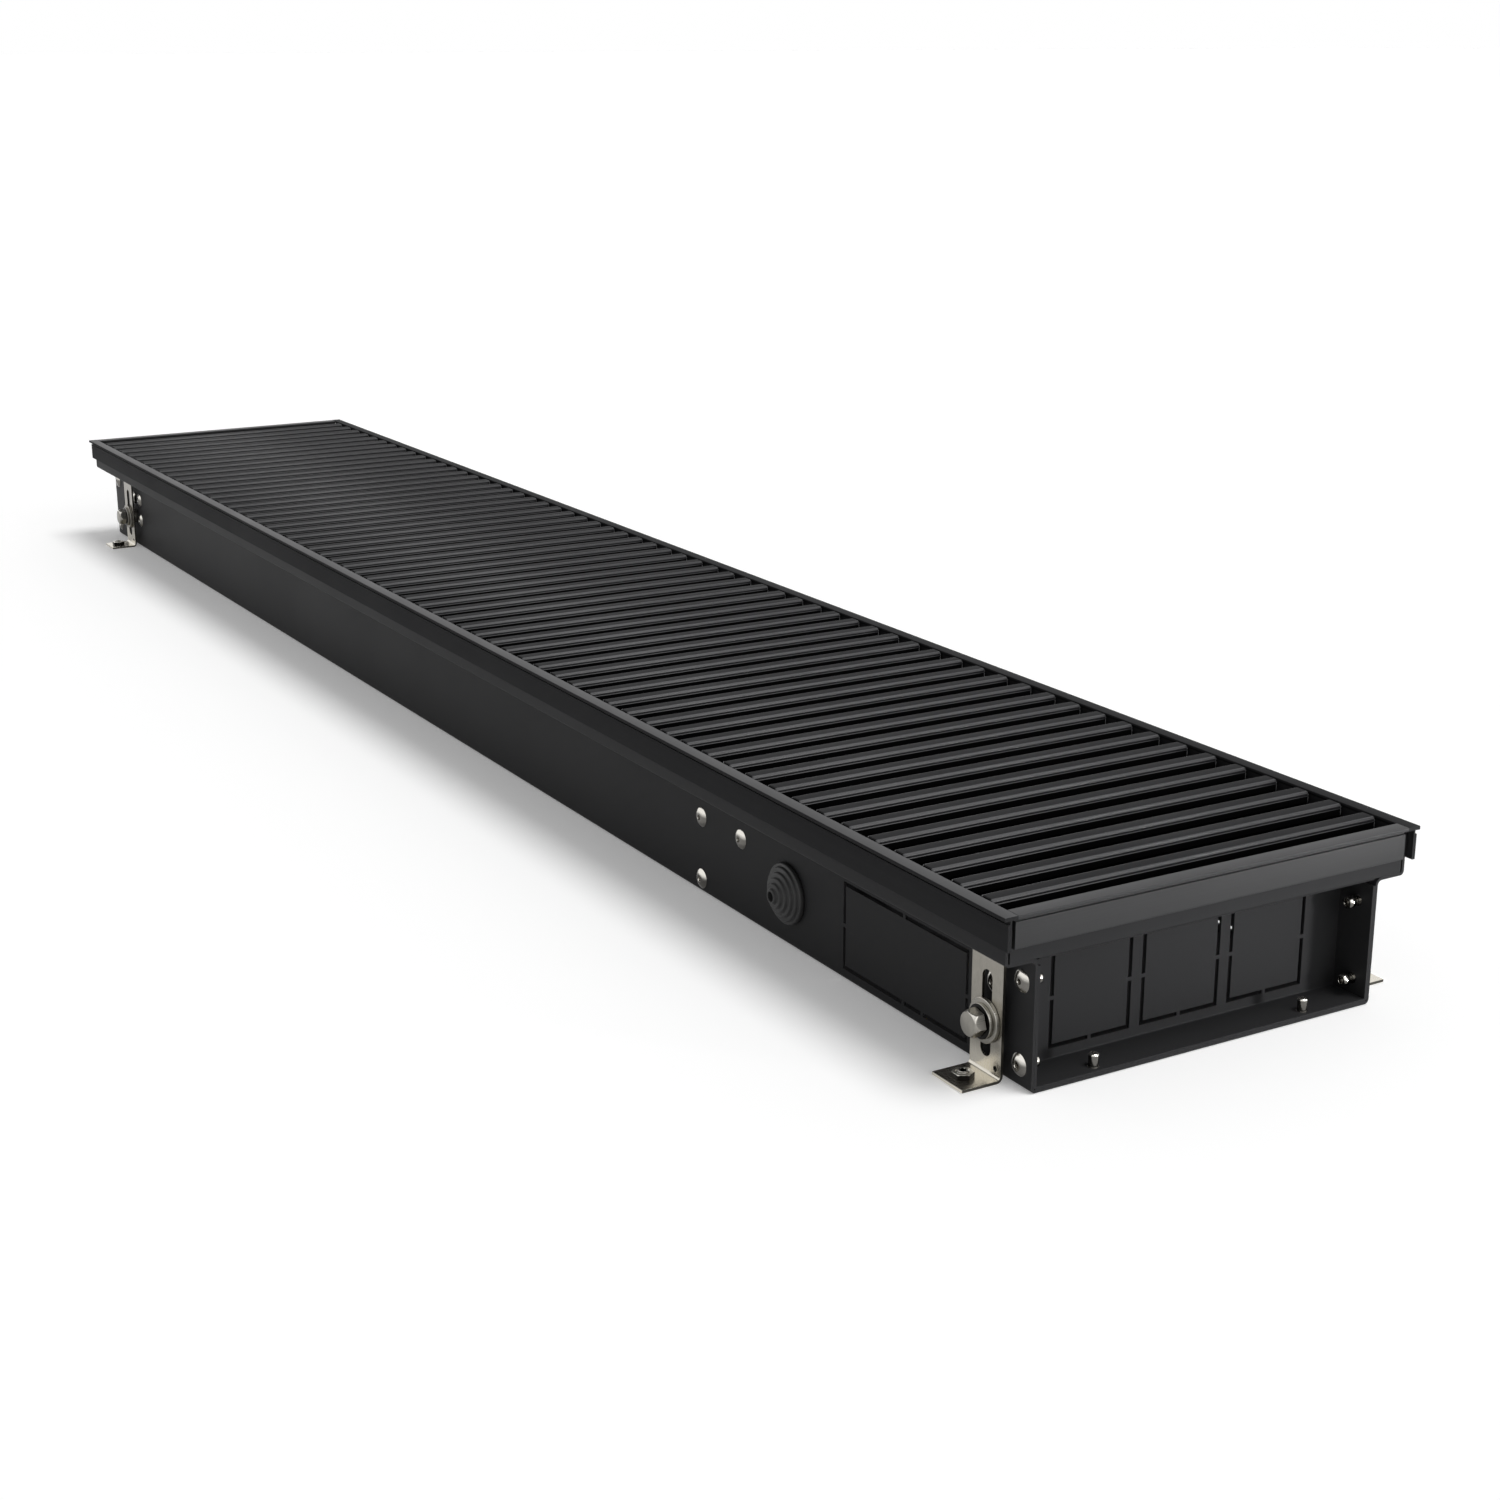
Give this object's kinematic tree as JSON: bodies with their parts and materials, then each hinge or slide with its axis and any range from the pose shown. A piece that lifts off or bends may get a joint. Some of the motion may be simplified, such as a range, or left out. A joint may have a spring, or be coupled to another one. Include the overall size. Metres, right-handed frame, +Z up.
{
  "type": "trench convector heater",
  "caption": "Low floor-trench water convector in a black steel casing with a roll-up bar grille, edge frame and height-set floor brackets.",
  "frame": {"origin": "under the middle of the casing floor, on the surface that it stands on", "axes": "+X along the casing towards the water connections, +Y across it towards the rear wall, +Z up"},
  "size_m": [1.207, 0.216, 0.075],
  "materials": {
    "powder_black": "satin powder coat on galvanised steel sheet",
    "anodised_black": "black anodised extrusion",
    "rubber_black": "moulded black rubber",
    "zinc_steel": "bright zinc plated steel",
    "brass": "turned brass",
    "coated_exchanger": "black coated copper tube and aluminium fins"
  },
  "bodies": {
    "casing": {"casing": "powder_black", "end_plate_right": "powder_black", "end_plate_left": "powder_black", "exchanger_console": "powder_black", "exchanger_far_support": "powder_black", "wall_doublers": "powder_black", "frame_front": "anodised_black", "frame_rear": "anodised_black", "frame_right": "anodised_black", "frame_left": "anodised_black", "rest_strips": "rubber_black", "cable_grommet": "rubber_black", "bracket_bolts": "zinc_steel", "bracket_spring_washers": "zinc_steel", "bracket_flat_washers": "zinc_steel", "bracket_rivet_nuts": "zinc_steel", "wall_rivets": "zinc_steel", "end_plate_rivets": "zinc_steel", "floor_rivets": "zinc_steel", "earth_stud": "zinc_steel", "earth_washer": "zinc_steel", "earth_nut": "zinc_steel", "water_sockets": "brass", "vent_body": "brass", "exchanger_tubes": "coated_exchanger", "exchanger_return_bend": "coated_exchanger", "exchanger_fins": "coated_exchanger"},
    "grille": {"grille_bars_main": "anodised_black", "grille_sleeves_main": "rubber_black", "grille_springs_main": "zinc_steel"},
    "grille_roll_1": {"grille_bars_roll_1": "anodised_black", "grille_sleeves_roll_1": "rubber_black", "grille_springs_roll_1": "zinc_steel"},
    "grille_roll_2": {"grille_bars_roll_2": "anodised_black", "grille_sleeves_roll_2": "rubber_black", "grille_springs_roll_2": "zinc_steel"},
    "grille_roll_3": {"grille_bars_roll_3": "anodised_black", "grille_sleeves_roll_3": "rubber_black", "grille_springs_roll_3": "zinc_steel"},
    "grille_roll_4": {"grille_bars_roll_4": "anodised_black", "grille_sleeves_roll_4": "rubber_black", "grille_springs_roll_4": "zinc_steel"},
    "grille_roll_5": {"grille_bars_roll_5": "anodised_black", "grille_sleeves_roll_5": "rubber_black", "grille_springs_roll_5": "zinc_steel"},
    "bracket_front_right": {"bracket_front_right": "zinc_steel", "level_screw_front_right": "zinc_steel", "lock_nut_front_right": "zinc_steel"},
    "bracket_front_left": {"bracket_front_left": "zinc_steel", "level_screw_front_left": "zinc_steel", "lock_nut_front_left": "zinc_steel"},
    "bracket_rear_right": {"bracket_rear_right": "zinc_steel", "level_screw_rear_right": "zinc_steel", "lock_nut_rear_right": "zinc_steel"},
    "bracket_rear_left": {"bracket_rear_left": "zinc_steel", "level_screw_rear_left": "zinc_steel", "lock_nut_rear_left": "zinc_steel"},
    "vent_screw": {"vent_screw": "brass"}
  },
  "joints": [
    {"name": "grille_lift", "type": "slide", "parent": "casing", "child": "grille", "axis": [0, 0, 1], "range_m": [0, 0.12]},
    {"name": "roll_1", "type": "hinge", "parent": "grille", "child": "grille_roll_1", "pos_m": [0.3007, 0, 0.06505], "axis": [0, -1, 0], "range_deg": [0, 30]},
    {"name": "roll_2", "type": "hinge", "parent": "grille_roll_1", "child": "grille_roll_2", "pos_m": [0.3589, 0, 0.06505], "axis": [0, -1, 0], "range_deg": [0, 30]},
    {"name": "roll_3", "type": "hinge", "parent": "grille_roll_2", "child": "grille_roll_3", "pos_m": [0.4171, 0, 0.06505], "axis": [0, -1, 0], "range_deg": [0, 30]},
    {"name": "roll_4", "type": "hinge", "parent": "grille_roll_3", "child": "grille_roll_4", "pos_m": [0.4753, 0, 0.06505], "axis": [0, -1, 0], "range_deg": [0, 30]},
    {"name": "roll_5", "type": "hinge", "parent": "grille_roll_4", "child": "grille_roll_5", "pos_m": [0.5335, 0, 0.06505], "axis": [0, -1, 0], "range_deg": [0, 30]},
    {"name": "height_front_right", "type": "slide", "parent": "casing", "child": "bracket_front_right", "axis": [0, 0, 1], "range_m": [-0.015, 0.005]},
    {"name": "height_front_left", "type": "slide", "parent": "casing", "child": "bracket_front_left", "axis": [0, 0, 1], "range_m": [-0.015, 0.005]},
    {"name": "height_rear_right", "type": "slide", "parent": "casing", "child": "bracket_rear_right", "axis": [0, 0, 1], "range_m": [-0.015, 0.005]},
    {"name": "height_rear_left", "type": "slide", "parent": "casing", "child": "bracket_rear_left", "axis": [0, 0, 1], "range_m": [-0.015, 0.005]},
    {"name": "vent_turn", "type": "hinge", "parent": "casing", "child": "vent_screw", "pos_m": [0.365, -0.0275, 0.046], "axis": [0, 0, 1], "range_deg": [0, 180]}
  ],
  "couplings": [
    {"joint": "roll_2", "follows": "roll_1", "ratio": 1},
    {"joint": "roll_3", "follows": "roll_1", "ratio": 1},
    {"joint": "roll_4", "follows": "roll_1", "ratio": 1},
    {"joint": "roll_5", "follows": "roll_1", "ratio": 1}
  ]
}
